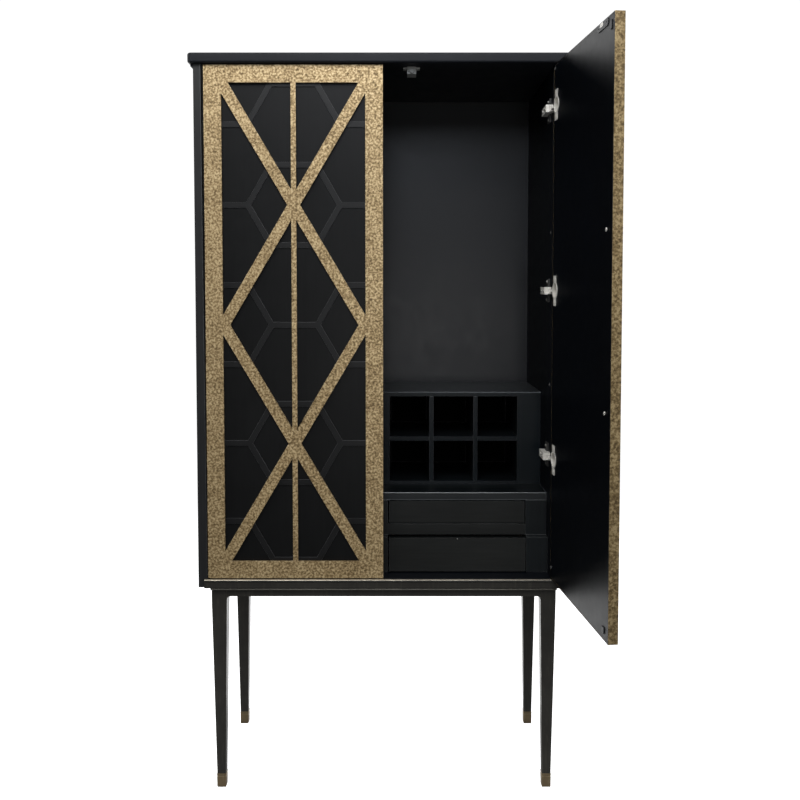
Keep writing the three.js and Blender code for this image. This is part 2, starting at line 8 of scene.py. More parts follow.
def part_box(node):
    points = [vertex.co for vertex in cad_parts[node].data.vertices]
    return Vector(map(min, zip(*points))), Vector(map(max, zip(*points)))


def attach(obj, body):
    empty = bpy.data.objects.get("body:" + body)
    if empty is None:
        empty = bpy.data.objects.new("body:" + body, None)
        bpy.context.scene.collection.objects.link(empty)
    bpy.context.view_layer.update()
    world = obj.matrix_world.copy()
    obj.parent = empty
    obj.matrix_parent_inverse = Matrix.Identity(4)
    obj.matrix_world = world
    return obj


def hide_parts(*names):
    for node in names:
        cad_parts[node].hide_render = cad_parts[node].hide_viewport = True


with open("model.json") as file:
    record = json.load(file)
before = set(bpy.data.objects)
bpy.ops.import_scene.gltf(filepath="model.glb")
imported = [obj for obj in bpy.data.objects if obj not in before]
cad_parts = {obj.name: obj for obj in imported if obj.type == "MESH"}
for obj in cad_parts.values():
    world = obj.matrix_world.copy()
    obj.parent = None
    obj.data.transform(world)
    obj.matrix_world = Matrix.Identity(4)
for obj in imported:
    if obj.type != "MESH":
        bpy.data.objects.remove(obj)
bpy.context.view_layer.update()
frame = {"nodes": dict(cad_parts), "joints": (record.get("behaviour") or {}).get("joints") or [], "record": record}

MM = 0.001
SIDES = (("left", -1), ("right", 1))
ALONG_X, ALONG_Y, ALONG_Z = range(3)

NODES = frame["nodes"]
RECORD = frame["record"]
BODY_OF = {
    node: body
    for body, members in RECORD["behaviour"]["bodies"].items()
    for node in members
}
SLOT_OF = {part["node"]: part["material_slot"] for part in RECORD["subparts"]}
HINGE_AT = {
    joint["child"]: Vector(joint["pos_m"])
    for joint in frame["joints"]
    if "pos_m" in joint
}
SLAB_LOW, SLAB_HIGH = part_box("top_slab")

# Places below are in millimetres from the middle of the cabinet's front,
# with the floor at zero
FRONT_LINE = Vector(
    ((SLAB_LOW.x + SLAB_HIGH.x) / 2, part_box("case_floor")[0].y, 0.0)
)
RIGHT_DOOR_OPEN = math.radians(96)


def at(x, y, z):
    return FRONT_LINE + Vector((x, y, z)) * MM


def place_of(point):
    """The place that at() takes for a point, in millimetres"""
    return (point - FRONT_LINE) / MM


def corners_of(node):
    """The lowest and highest corner of a solid, in millimetres"""
    return (place_of(corner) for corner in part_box(node))


def hung(side):
    """Turns a door's piece from closed to the angle at which that door stands"""
    if side == "left":
        return Matrix.Identity(4)
    pivot = HINGE_AT["right_door"]
    turn = Matrix.Rotation(RIGHT_DOOR_OPEN, 4, "Z")
    return Matrix.Translation(pivot) @ turn @ Matrix.Translation(-pivot)


# Camera

CAMERA_PLACE = (36.3, -1984, 1121)
CAMERA_TILT = math.radians(87.15)
SENSOR_WIDTH = 36
LENS = 40.77
LENS_SHIFT = -0.0808
NEAREST_SEEN = 0.05


def place_camera():
    bpy.ops.object.camera_add(location=at(*CAMERA_PLACE))
    camera = bpy.context.object
    camera.name = "camera"
    camera.rotation_euler = (CAMERA_TILT, 0, 0)
    camera.data.sensor_width = SENSOR_WIDTH
    camera.data.lens = LENS
    camera.data.shift_y = LENS_SHIFT
    camera.data.clip_start = NEAREST_SEEN
    bpy.context.scene.camera = camera


# Materials

# Most values of a noise pattern lie between these
PATTERN_LOW, PATTERN_HIGH = 0.3, 0.7
# Sockets of the colour mixer, which has several of each name
SHARE, FIRST, SECOND, MIXED = 0, 6, 7, 2
WHITE = (1.0, 1.0, 1.0)


def scaled(colour, share):
    return tuple(part * share for part in colour)


def drawn_out(axis, share):
    """The scale that draws a pattern out along one axis"""
    stretch = [1, 1, 1]
    stretch[axis] = share
    return tuple(stretch)


class Finish:
    """A material whose patterns lie on the object's own coordinates"""

    def __init__(self, name, **sockets):
        self.material = bpy.data.materials.new(name)
        self.material.use_nodes = True
        self.tree = self.material.node_tree
        self.shader = self.tree.nodes["Principled BSDF"]
        self.coordinates = self.node("ShaderNodeTexCoord").outputs["Object"]
        self.normal = None
        self.fill(self.shader, sockets)

    def fill(self, node, sockets):
        for socket, value in sockets.items():
            node.inputs[socket.replace("_", " ")].default_value = value

    def node(self, kind, **sockets):
        node = self.tree.nodes.new(kind)
        self.fill(node, sockets)
        return node

    def join(self, source, target):
        self.tree.links.new(source, target)

    def stretched(self, scale):
        mapping = self.node("ShaderNodeMapping", Scale=scale)
        self.join(self.coordinates, mapping.inputs["Vector"])
        return mapping.outputs["Vector"]

    def noise(self, scale, detail=3, roughness=0.5, stretch=None, twist=0):
        noise = self.node(
            "ShaderNodeTexNoise",
            Scale=scale,
            Detail=detail,
            Roughness=roughness,
            Distortion=twist,
        )
        source = self.stretched(stretch) if stretch else self.coordinates
        self.join(source, noise.inputs["Vector"])
        return noise.outputs["Fac"]

    def flecks(self, scale):
        flecks = self.node("ShaderNodeTexVoronoi", Scale=scale)
        self.join(self.coordinates, flecks.inputs["Vector"])
        return flecks.outputs["Distance"]

    def graded(self, value, to_low, to_high, low=PATTERN_LOW, high=PATTERN_HIGH):
        """Spreads a value from one range to another"""
        spread = self.node(
            "ShaderNodeMapRange",
            From_Min=low,
            From_Max=high,
            To_Min=to_low,
            To_Max=to_high,
        )
        self.join(value, spread.inputs["Value"])
        return spread.outputs["Result"]

    def ramp(self, value, *stops):
        ramp = self.node("ShaderNodeValToRGB")
        elements = ramp.color_ramp.elements
        while len(elements) < len(stops):
            elements.new(0.5)
        for element, (position, colour) in zip(elements, stops):
            element.position = position
            element.color = (*colour, 1)
        self.join(value, ramp.inputs["Fac"])
        return ramp.outputs["Color"]

    def toned(self, value, colour, dark, light=1):
        """A colour that turns from a darker to a lighter tone with a pattern"""
        low, high = scaled(colour, dark), scaled(colour, light)
        return self.ramp(value, (PATTERN_LOW, low), (PATTERN_HIGH, high))

    def mixed(self, share, first, second, way="MIX"):
        """Mixes two colours or patterns by a share that is a number or a pattern"""
        mix = self.node("ShaderNodeMix")
        mix.data_type = "RGBA"
        mix.blend_type = way
        for value, place in ((share, SHARE), (first, FIRST), (second, SECOND)):
            socket = mix.inputs[place]
            if isinstance(value, bpy.types.NodeSocket):
                self.join(value, socket)
            elif isinstance(value, tuple):
                socket.default_value = (*value, 1)
            else:
                socket.default_value = value
        return mix.outputs[MIXED]

    def colour(self, value):
        self.join(value, self.shader.inputs["Base Color"])

    def roughness(self, value):
        self.join(value, self.shader.inputs["Roughness"])

    def bump(self, height, distance, strength):
        """Relief of a depth in millimetres, laid over any relief before it"""
        bump = self.node("ShaderNodeBump", Distance=distance * MM, Strength=strength)
        self.join(height, bump.inputs["Height"])
        if self.normal:
            self.join(self.normal, bump.inputs["Normal"])
        self.normal = bump.outputs["Normal"]
        self.join(self.normal, self.shader.inputs["Normal"])


def lacquer(name, colour, gloss, gleam, grain_along=ALONG_Z, grain=0.12, texture=0.25):
    """Sprayed lacquer over veneer: faint grain, cloudy depth, a trace of orange peel"""
    finish = Finish(name, Specular_IOR_Level=gleam)
    cloud = finish.noise(5, 3, 0.5)
    streak = finish.noise(240, 4, 0.6, stretch=drawn_out(grain_along, 0.05))
    base = finish.toned(cloud, colour, 0.82, 1.2)
    lines = finish.ramp(streak, (0.35, (1 - grain,) * 3), (0.7, (1 + grain,) * 3))
    finish.colour(finish.mixed(1.0, base, lines, "MULTIPLY"))
    haze = finish.noise(38, 4, 0.6)
    finish.roughness(finish.graded(haze, gloss - 0.02, gloss + 0.03))
    finish.bump(streak, 0.05, texture)
    finish.bump(finish.noise(420, 2, 0.5), 0.03, texture)
    return finish.material


def polished(name, colour, gloss, gleam, texture):
    """Lacquer rubbed flat, with little of its grain left"""
    return lacquer(name, colour, gloss, gleam, ALONG_X, 0.04, texture)


def felt(name, colour):
    """Glued felt: matt, with short fibres lying every way"""
    finish = Finish(name, Specular_IOR_Level=0.05, Roughness=0.95)
    fibre = finish.noise(900, 4, 0.7, twist=1.5)
    finish.colour(finish.toned(fibre, colour, 0.6, 1.4))
    finish.bump(fibre, 0.3, 0.6)
    return finish.material


def gilding(name, stops, metal, low_gloss, high_gloss, depth):
    """Leaf over a dark ground, broken by fine specks, with larger clouds of wear"""
    finish = Finish(name, Metallic=metal, Specular_IOR_Level=0.4)
    speck = finish.noise(215, 1.5, 0.5, twist=0.3)
    grit = finish.noise(620, 2, 0.6)
    cloud = finish.noise(32, 3, 0.6)
    crumbs = finish.flecks(300)
    height = finish.mixed(0.22, speck, grit)
    height = finish.mixed(0.16, height, cloud)
    leaf = finish.ramp(height, *stops)
    ground = finish.ramp(crumbs, (0.08, (0.55, 0.50, 0.42)), (0.28, WHITE))
    finish.colour(finish.mixed(0.6, leaf, ground, "MULTIPLY"))
    finish.roughness(finish.graded(speck, high_gloss, low_gloss))
    finish.bump(height, depth, 0.5)
    finish.bump(crumbs, depth * 0.5, 0.25)
    return finish.material


GOLD_STOPS = (
    (0.36, (0.112, 0.073, 0.031)),
    (0.45, (0.213, 0.145, 0.066)),
    (0.52, (0.341, 0.246, 0.123)),
    (0.62, (0.545, 0.418, 0.232)),
)
# Paler gilding for the fret's eased edges: rubbed edges, with a painted highlight along them
EDGE_HIGHLIGHT_STOPS = (
    (0.34, (0.46, 0.37, 0.22)),
    (0.46, (0.66, 0.55, 0.36)),
    (0.60, (0.78, 0.67, 0.47)),
)
# Darker gilding for the door's outer edges
RIM_STOPS = (
    (0.36, (0.084, 0.055, 0.023)),
    (0.45, (0.160, 0.109, 0.047)),
    (0.52, (0.255, 0.183, 0.086)),
    (0.62, (0.415, 0.313, 0.165)),
)


def patinated(name, colour, rub, metal, gloss, gleam=0.5):
    """Dark metal or metal paint with rubbed places and a slow change of tone"""
    finish = Finish(name, Metallic=metal, Specular_IOR_Level=gleam)
    cloud = finish.noise(9, 4, 0.6)
    rubbed = finish.noise(160, 4, 0.65, stretch=drawn_out(ALONG_Z, 0.15))
    base = finish.toned(cloud, colour, 0.75, 1.25)
    share = finish.graded(rubbed, 0.0, 0.55, 0.52, 0.75)
    finish.colour(finish.mixed(share, base, rub))
    finish.roughness(finish.graded(rubbed, gloss + 0.08, gloss - 0.06))
    finish.bump(rubbed, 0.05, 0.3)
    return finish.material


def plated(name, colour, gloss, along, metal=1.0):
    """Bright plating with fine drawn lines"""
    finish = Finish(name, Metallic=metal)
    drawn = finish.noise(2600, 2, 0.5, stretch=drawn_out(along, 0.02))
    cloud = finish.noise(60, 3, 0.6)
    finish.colour(finish.toned(cloud, colour, 0.86))
    finish.roughness(finish.graded(drawn, gloss - 0.06, gloss + 0.10))
    finish.bump(drawn, 0.02, 0.25)
    return finish.material


def moulded(name, colour, gloss):
    """Injection-moulded plastic with a fine spark-eroded texture"""
    finish = Finish(name, Specular_IOR_Level=0.4)
    texture = finish.noise(1800, 2, 0.5)
    cloud = finish.noise(40, 2, 0.5)
    finish.colour(finish.toned(cloud, colour, 0.9))
    finish.roughness(finish.graded(texture, gloss - 0.06, gloss + 0.08))
    finish.bump(texture, 0.04, 0.35)
    return finish.material


def waxed_wood(name):
    """Straight-grained drawer wood, with dark latewood lines along its length"""
    finish = Finish(name, Specular_IOR_Level=0.35)
    rings = finish.noise(30, 3, 0.55, stretch=drawn_out(ALONG_Y, 0.06), twist=0.8)
    pores = finish.noise(420, 3, 0.6, stretch=drawn_out(ALONG_Y, 0.03))
    base = finish.ramp(
        rings,
        (0.30, (0.085, 0.052, 0.028)),
        (0.48, (0.150, 0.098, 0.056)),
        (0.56, (0.110, 0.068, 0.037)),
        (0.72, (0.185, 0.125, 0.074)),
    )
    dark = finish.ramp(pores, (0.36, (0.62, 0.58, 0.54)), (0.5, WHITE))
    finish.colour(finish.mixed(1.0, base, dark, "MULTIPLY"))
    finish.roughness(finish.graded(pores, 0.62, 0.5))
    finish.bump(pores, 0.08, 0.4)
    return finish.material


ROOM_WHITE = 1.06
FLOOR_GLOW = 0.97
# Metres from the middle of the cabinet between which the floor turns white
FLOOR_NEAR, FLOOR_FAR = 1.0, 3.0


def floor_paint():
    """Pale studio floor that turns white away from the cabinet"""
    finish = Finish(
        "pale_floor",
        Specular_IOR_Level=0.2,
        Roughness=0.7,
        Emission_Color=(*WHITE, 1),
        Emission_Strength=FLOOR_GLOW,
    )
    finish.colour(finish.toned(finish.noise(1.5, 3, 0.5), WHITE, 0.86, 0.90))
    finish.bump(finish.noise(60, 3, 0.5), 0.1, 0.2)
    far = finish.node("ShaderNodeVectorMath")
    far.operation = "LENGTH"
    finish.join(finish.coordinates, far.inputs[0])
    share = finish.graded(far.outputs["Value"], 0.0, 1.0, FLOOR_NEAR, FLOOR_FAR)
    white = finish.node("ShaderNodeEmission", Strength=ROOM_WHITE)
    mix = finish.node("ShaderNodeMixShader")
    finish.join(share, mix.inputs[0])
    finish.join(finish.shader.outputs["BSDF"], mix.inputs[1])
    finish.join(white.outputs["Emission"], mix.inputs[2])
    output = finish.tree.nodes["Material Output"]
    finish.join(mix.outputs["Shader"], output.inputs["Surface"])
    return finish.material


# Lacquers, each with its colour, roughness and strength of reflection
FINE_SPRAY = 0.12
CHARCOAL = lacquer("charcoal_lacquer", (0.0105, 0.0105, 0.0110), 0.42, 0.27)
# Lighter lacquer on the eased edges of the case sides: a painted highlight
CHARCOAL_HIGHLIGHT = lacquer("charcoal_edge_highlight", (0.024, 0.025, 0.026), 0.38, 0.4)
# Matt black for the slopes beside the doors and the sides of the drawer fronts: painted shadow in the gaps
GAP_SHADOW_BLACK = lacquer("painted_gap_shadow", (0.0008, 0.0009, 0.0010), 0.8, 0.05)
SLAB_BLACK = lacquer(
    "slab_lacquer", (0.0072, 0.0082, 0.0108), 0.46, 0.145, grain_along=ALONG_X
)
INNER_BLACK = lacquer(
    "inner_lacquer", (0.0008, 0.0014, 0.0028), 0.36, 0.31, texture=FINE_SPRAY
)
# Lighter lacquer on the eased edges of the case floor: a painted highlight
INNER_HIGHLIGHT = lacquer("inner_lacquer_highlight", (0.010, 0.012, 0.014), 0.35, 0.5)
DOOR_INSIDE = lacquer(
    "door_inside_lacquer", (0.0002, 0.0006, 0.0015), 0.40, 0.125, texture=FINE_SPRAY
)
PANEL_BLACK = lacquer("door_panel_lacquer", (0.0040, 0.0041, 0.0042), 0.42, 0.14)
LATTICE_BLACK = lacquer("lattice_lacquer", (0.0045, 0.0045, 0.0047), 0.46, 0.24)
# Lighter lacquer on the edges of the door lattice: a painted highlight
LATTICE_HIGHLIGHT = lacquer("lattice_edge_highlight", (0.025, 0.025, 0.026), 0.44, 0.36)
DRAWER_BLACK = lacquer(
    "drawer_lacquer", (0.0112, 0.0117, 0.0112), 0.38, 0.18, grain_along=ALONG_X
)
# Lighter lacquer on the eased edges of the drawer fronts, divider and columns: a painted highlight
DRAWER_HIGHLIGHT = lacquer(
    "drawer_lacquer_highlight", (0.022, 0.024, 0.024), 0.36, 0.3, grain_along=ALONG_X
)
# Lighter lacquer on the front faces of the case floor and the drawer case top: painted light
LIT_LEDGE_BLACK = lacquer(
    "ledge_painted_light", (0.0155, 0.0170, 0.0180), 0.36, 0.22, grain_along=ALONG_X
)
COLUMN_BLACK = lacquer("column_lacquer", (0.0060, 0.0074, 0.0082), 0.38, 0.18)
FACE_BLACK = lacquer(
    "rack_face_lacquer", (0.0026, 0.0044, 0.0058), 0.34, 0.15, grain_along=ALONG_X
)
# Lighter lacquer on the top of the rack: painted light and reflection
RACK_LIT_TOP = lacquer(
    "rack_top_painted_light", (0.0135, 0.0150, 0.0165), 0.36, 0.4, grain_along=ALONG_X
)
GLOSS_BLACK = polished("rack_gloss", (0.0022, 0.0032, 0.0040), 0.30, 0.5, 0.004)
# Lighter lacquer on the eased edges of the rack's cells: a painted highlight
GLOSS_HIGHLIGHT = polished("rack_gloss_highlight", (0.022, 0.025, 0.027), 0.3, 0.4, 0.01)
# Bright lacquer on the rounded front edge of the drawer case top: a painted highlight
LEDGE_HIGHLIGHT = polished("ledge_edge_highlight", (0.110, 0.120, 0.125), 0.22, 0.7, 0.01)
# Bright lacquer on the rounded front rim of the rack's top: a painted glint
RACK_GLINT = polished("rack_rim_glint", (0.070, 0.077, 0.083), 0.16, 0.9, 0.004)
# Black felt at the back of the rack's cells: painted shade
CELL_SHADE_FELT = felt("black_felt_painted_shade", (0.0012, 0.0013, 0.0014))

# Gold leaf, bronze and brass, each with its tones and how metallic and rough it is
GOLD = gilding("antiqued_gold_leaf", GOLD_STOPS, 0.45, 0.36, 0.62, depth=0.3)
GOLD_RIM = gilding("darker_gold_rim", RIM_STOPS, 0.45, 0.40, 0.62, depth=0.3)
GOLD_EDGE_HIGHLIGHT = gilding("gold_rubbed_edge_and_highlight", EDGE_HIGHLIGHT_STOPS, 0.5, 0.3, 0.45, depth=0.12)
BRONZE = patinated(
    "dark_bronze", (0.0280, 0.0260, 0.0220), (0.062, 0.057, 0.047), 0.30, 0.34, 0.45
)
# Lighter bronze on the eased edges of the legs and stand, the plate's rim and the lip: rubbed edges and a painted
# highlight
BRONZE_EDGE_HIGHLIGHT = patinated(
    "bronze_rubbed_edge_and_highlight", (0.060, 0.056, 0.046), (0.12, 0.11, 0.09), 0.5, 0.34
)
GILT = patinated("gilded_bead", (0.34, 0.305, 0.24), (0.60, 0.55, 0.45), 0.5, 0.36)
BRASS = patinated("aged_brass", (0.185, 0.136, 0.076), (0.30, 0.235, 0.14), 0.6, 0.42)
# Lighter brass on the eased edges of the feet: rubbed edges and a painted highlight
BRASS_EDGE_HIGHLIGHT = patinated(
    "brass_rubbed_edge_and_highlight", (0.26, 0.20, 0.12), (0.42, 0.34, 0.22), 0.7, 0.34
)

# Plating and plastic, each with its colour and roughness
NICKEL = plated("nickel_plate", (0.56, 0.54, 0.495), 0.38, ALONG_Y, metal=0.3)
# Brighter nickel on the eased edges of the hinge cups and links: a painted highlight
NICKEL_HIGHLIGHT = plated("nickel_edge_highlight", (0.75, 0.73, 0.68), 0.3, ALONG_Z, metal=0.5)
# Nickel darkened for the wings of the mounting plates: painted shade
NICKEL_PAINTED_SHADE = plated(
    "nickel_painted_shade", (0.022, 0.0215, 0.020), 0.5, ALONG_Y, metal=0.3
)
STEEL = plated("zinc_screw", (0.40, 0.39, 0.36), 0.36, ALONG_X)
GREY_PLASTIC = moulded("grey_plastic", (0.36, 0.36, 0.34), 0.45)
BLACK_PLASTIC = moulded("black_plastic", (0.010, 0.010, 0.011), 0.45)
CLEAR_PAD = moulded("pale_pad", (0.050, 0.050, 0.048), 0.35)
DRAWER_WOOD = waxed_wood("waxed_drawer_wood")


# Making and finishing pieces

# How much of a direction lies along an axis: all of it, nearly all, most, or any
FLAT, RUNS, MOSTLY, LEANS = 0.99, 0.9, 0.5, 0.05
# How near a place is to a line to count as on it
NEAR = 0.2
# Angles in degrees, from which an edge is eased and from which it stays sharp
EASED_FROM, SHARP_FROM = 30, 35
# Millimetres within which points are one, and degrees within which faces are
MERGED_WITHIN, FLAT_WITHIN = 0.005, 0.5
# Weight at which the largest faces set the shading at their edges
LARGE_FACES_RULE = 100

# Numbers in a piece's list of finishes, and the one for an edge like its neighbours
MAIN, EDGE, FACE = range(3)
AS_BESIDE = -1


def set_down():
    """Leaves edit mode with nothing selected"""
    if bpy.context.object and bpy.context.object.mode != "OBJECT":
        bpy.ops.object.mode_set(mode="OBJECT")
    bpy.ops.object.select_all(action="DESELECT")


def take_up(piece):
    set_down()
    piece.select_set(True)
    bpy.context.view_layer.objects.active = piece


def fix_place(piece):
    take_up(piece)
    bpy.ops.object.transform_apply(location=True, rotation=True, scale=True)


def apply_modifier(piece, kind, **settings):
    take_up(piece)
    bpy.ops.object.modifier_add(type=kind)
    modifier = piece.modifiers[-1]
    for setting, value in settings.items():
        setattr(modifier, setting, value)
    bpy.ops.object.modifier_apply(modifier=modifier.name)


def ease(piece, width, steps=2, edge_finish=AS_BESIDE):
    """Rounds every sharp edge by a width in millimetres"""
    apply_modifier(
        piece,
        "BEVEL",
        width=width * MM,
        segments=steps,
        limit_method="ANGLE",
        angle_limit=math.radians(EASED_FROM),
        material=edge_finish,
    )


def cut(piece, cutter):
    apply_modifier(
        piece, "BOOLEAN", operation="DIFFERENCE", object=cutter, solver="EXACT"
    )
    bpy.data.objects.remove(cutter)


def clear_choice(piece, kind):
    """Sets the piece up for choosing its faces or edges, with none chosen yet"""
    take_up(piece)
    bpy.ops.object.mode_set(mode="EDIT")
    bpy.ops.mesh.select_mode(type=kind)
    bpy.ops.mesh.select_all(action="DESELECT")
    bpy.ops.object.mode_set(mode="OBJECT")


def choose_faces(piece, wanted):
    """Edits a piece with the faces selected whose centre and normal are wanted"""
    clear_choice(piece, "FACE")
    for face in piece.data.polygons:
        face.select = wanted(face.center, face.normal)
    bpy.ops.object.mode_set(mode="EDIT")


def choose_edges(piece, wanted):
    """Edits a piece with the edges selected whose middle and direction are wanted"""
    clear_choice(piece, "EDGE")
    points = piece.data.vertices
    for edge in piece.data.edges:
        first, last = (points[index].co for index in edge.vertices)
        edge.select = wanted((first + last) / 2, (last - first).normalized())
    bpy.ops.object.mode_set(mode="EDIT")


def round_edges(piece, wanted, width, steps=1, profile=0.5):
    """Bevels the wanted edges by a width in millimetres"""
    choose_edges(piece, wanted)
    bpy.ops.mesh.bevel(
        offset=width * MM, segments=steps, profile=profile, affect="EDGES"
    )
    set_down()


def running(axis):
    """Wants every edge along one axis"""
    return lambda middle, direction: abs(direction[axis]) > RUNS


def board(low, high):
    """A block between two corners in millimetres"""
    corner, other = at(*low), at(*high)
    set_down()
    bpy.ops.mesh.primitive_cube_add(
        size=1, location=(corner + other) / 2, scale=other - corner
    )
    piece = bpy.context.object
    fix_place(piece)
    return piece


def drill(place, tip, mouth, length, sides):
    """A tapered cutter from behind, with the radii of its tip and its mouth"""
    set_down()
    bpy.ops.mesh.primitive_cone_add(
        vertices=sides,
        radius1=tip * MM,
        radius2=mouth * MM,
        depth=length * MM,
        location=at(*place),
        rotation=(math.radians(-90), 0, 0),
    )
    return bpy.context.object


def facing(place, direction):
    """Takes a shape that looks up from the origin to a place, looking another way"""
    turn = Vector(direction).to_track_quat("Z", "Y").to_matrix().to_4x4()
    return Matrix.Translation(at(*place)) @ turn


def copied(master, place):
    piece = bpy.data.objects.new(master.name, master.data.copy())
    piece.data.transform(place)
    bpy.context.scene.collection.objects.link(piece)
    return piece


def joined(pieces):
    set_down()
    for piece in pieces:
        piece.select_set(True)
    bpy.context.view_layer.objects.active = pieces[0]
    bpy.ops.object.join()
    return bpy.context.object


def give_finishes(piece, finishes):
    """Sets the finishes and keeps the faces' numbers, which clearing would reset"""
    numbers = [face.material_index for face in piece.data.polygons]
    piece.data.materials.clear()
    for finish in finishes:
        piece.data.materials.append(finish)
    for face, number in zip(piece.data.polygons, numbers):
        face.material_index = number


def deliver(piece, name, body, slot, *finishes, smooth=SHARP_FROM):
    """Names a finished piece, gives it its finishes and hangs it on its body"""
    piece.name = name
    piece.data.name = name
    fix_place(piece)
    bpy.ops.object.shade_smooth_by_angle(angle=math.radians(smooth))
    apply_modifier(
        piece, "WEIGHTED_NORMAL", keep_sharp=True, weight=LARGE_FACES_RULE
    )
    give_finishes(piece, finishes)
    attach(piece, body)
    return piece


def clean_copy(node):
    """A copy of a solid with its points merged and its flat faces cut up evenly"""
    set_down()
    piece = bpy.data.objects.new(node + "_dressed", NODES[node].data.copy())
    bpy.context.scene.collection.objects.link(piece)
    take_up(piece)
    bpy.ops.mesh.customdata_custom_splitnormals_clear()
    bpy.ops.object.mode_set(mode="EDIT")
    bpy.ops.mesh.select_all(action="SELECT")
    bpy.ops.mesh.remove_doubles(threshold=MERGED_WITHIN * MM)
    bpy.ops.mesh.dissolve_limited(angle_limit=math.radians(FLAT_WITHIN))
    bpy.ops.mesh.quads_convert_to_tris(quad_method="BEAUTY", ngon_method="BEAUTY")
    bpy.ops.object.mode_set(mode="OBJECT")
    return piece


def dress(
    node,
    finishes,
    width,
    steps=2,
    paint=None,
    edge_finish=AS_BESIDE,
    shape=None,
    smooth=SHARP_FROM,
):
    """Puts a finer piece in a solid's place: shaped, eased, a finish on every face"""
    piece = clean_copy(node)
    if shape:
        shape(piece)
    for face in piece.data.polygons:
        face.material_index = paint(face.center, face.normal) if paint else MAIN
    for _ in finishes[1:]:
        piece.data.materials.append(finishes[0])
    ease(piece, width, steps, edge_finish)
    deliver(piece, piece.name, BODY_OF[node], SLOT_OF[node], *finishes, smooth=smooth)
    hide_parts(node)
    return piece


# Screws, caps and pads, each modelled once and copied

SCREW_SIDES, CAP_SIDES = 24, 28
# Shares of the radius and the height of a screw: its crown, and its cross
CROWN_INSET, CROWN_RISE = 0.4, 0.3
CROSS_REACH, CROSS_WIDTH, CROSS_LEVEL = 1.15, 0.28, 1.3
# Shares of the radius and the height of a cap: its rounded rim, and its dish
CAP_ROUND, DISH_INSET, DISH_SINK = 0.35, 0.25, 0.15


def make_disc(name, radius, height, sides):
    """A plain round blank that stands on the origin"""
    set_down()
    bpy.ops.mesh.primitive_cylinder_add(
        vertices=sides,
        radius=radius * MM,
        depth=height * MM,
        location=(0, 0, height * MM / 2),
    )
    disc = bpy.context.object
    disc.name = name
    fix_place(disc)
    return disc


def looks_up(centre, normal):
    return normal.z > FLAT


def make_screw(radius, height, recess):
    """A low crowned head with a cross recess, looking up from the origin"""
    screw = make_disc("screw", radius, height, SCREW_SIDES)
    choose_faces(screw, looks_up)
    bpy.ops.mesh.inset(
        thickness=CROWN_INSET * radius * MM, depth=CROWN_RISE * height * MM
    )
    set_down()
    bar = Vector((CROSS_REACH * radius, CROSS_WIDTH * radius, 2 * recess)) * MM
    for turn in (0, 90):
        bpy.ops.mesh.primitive_cube_add(
            size=1,
            location=(0, 0, CROSS_LEVEL * height * MM),
            rotation=(0, 0, math.radians(turn)),
            scale=bar,
        )
        cut(screw, bpy.context.object)
    return screw


def make_cap(radius, height):
    """A round cap or pad with a rounded rim and a shallow dish"""
    cap = make_disc("cap", radius, height, CAP_SIDES)
    ease(cap, CAP_ROUND * height, steps=3)
    choose_faces(cap, looks_up)
    bpy.ops.mesh.inset(
        thickness=DISH_INSET * radius * MM, depth=-DISH_SINK * height * MM
    )
    set_down()
    return cap


def scatter(master, places, name, body, slot, finish, way=Matrix.Identity(4)):
    """Copies of one shape at several places and directions, as one piece"""
    copies = [copied(master, way @ facing(place, look)) for place, look in places]
    return deliver(joined(copies), name, body, slot, finish)


# Case

CASE_HALF = 411.5
LINING_OUTER = 391.5
WALL = 371.5
DOOR_BACK = 19
SLAB_BOTTOM = 1610
BACK_FACE = 417
SIDE_SLOPE = 4.4
SLAB_CORNER = 9
SLAB_ROUND = 4.6
ROUND_STEPS = 5
COVER_CAP_Y = 35
COVER_CAP_Z = (1249, 910)
BACK_SCREW_X = (-370, -185, 0, 185, 370)
BACK_SCREW_Z = (482, 860, 1235, 1590)
BACK_SCREW_SUNK = 2.1
COUNTERSINK = {"tip": 2.6, "mouth": 5.4, "length": 4.4, "sides": 20}

# Finishes of the case sides and the back, after the main one and the edges; the fourth is black painted shadow in
# the gap beside the door
INSIDE, GAP_SHADOW = 2, 3
OUTSIDE = 1


def back_screw_places():
    """Along the top and the bottom of the back, and up its two ends"""
    for row, z in enumerate(BACK_SCREW_Z):
        for x in BACK_SCREW_X:
            if row in (0, len(BACK_SCREW_Z) - 1) or abs(x) == BACK_SCREW_X[-1]:
                yield x, z


def countersink(piece):
    drills = [drill((x, BACK_FACE, z), **COUNTERSINK) for x, z in back_screw_places()]
    cut(piece, joined(drills))


def side_paint(centre, normal):
    """Charcoal outside, black painted shadow on the slope beside the door, and the inner finish inside"""
    x = place_of(centre).x
    if abs(x) < LINING_OUTER - NEAR:
        return INSIDE
    return GAP_SHADOW if x * normal.x < -LEANS * abs(x) else MAIN


def ease_inner_arris(piece):
    """A wider slope on the front edge of a side, next to the door, which takes the black painted shadow of the gap
    """

    def inner_front(middle, direction):
        place = place_of(middle)
        near = abs(abs(place.x) - LINING_OUTER) < NEAR and abs(place.y) < NEAR
        return near and abs(direction.z) > RUNS

    round_edges(piece, inner_front, SIDE_SLOPE)


def make_slab():
    """One thick board with rounded corners and softened edges"""
    low, high = corners_of("top_slab")
    slab = board(low, high)
    round_edges(slab, running(ALONG_Z), SLAB_CORNER, ROUND_STEPS)
    for level in (low.z, high.z):

        def at_level(middle, direction):
            return abs(place_of(middle).z - level) < NEAR

        round_edges(slab, at_level, SLAB_ROUND, ROUND_STEPS)
    deliver(slab, "top_slab_dressed", "cabinet", "slab_lacquer", SLAB_BLACK, smooth=60)
    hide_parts("top_slab")


def back_paint(centre, normal):
    """The back and the ends of the back panel are as the outside of the case"""
    return OUTSIDE if normal.y > MOSTLY or abs(normal.x) > MOSTLY else MAIN


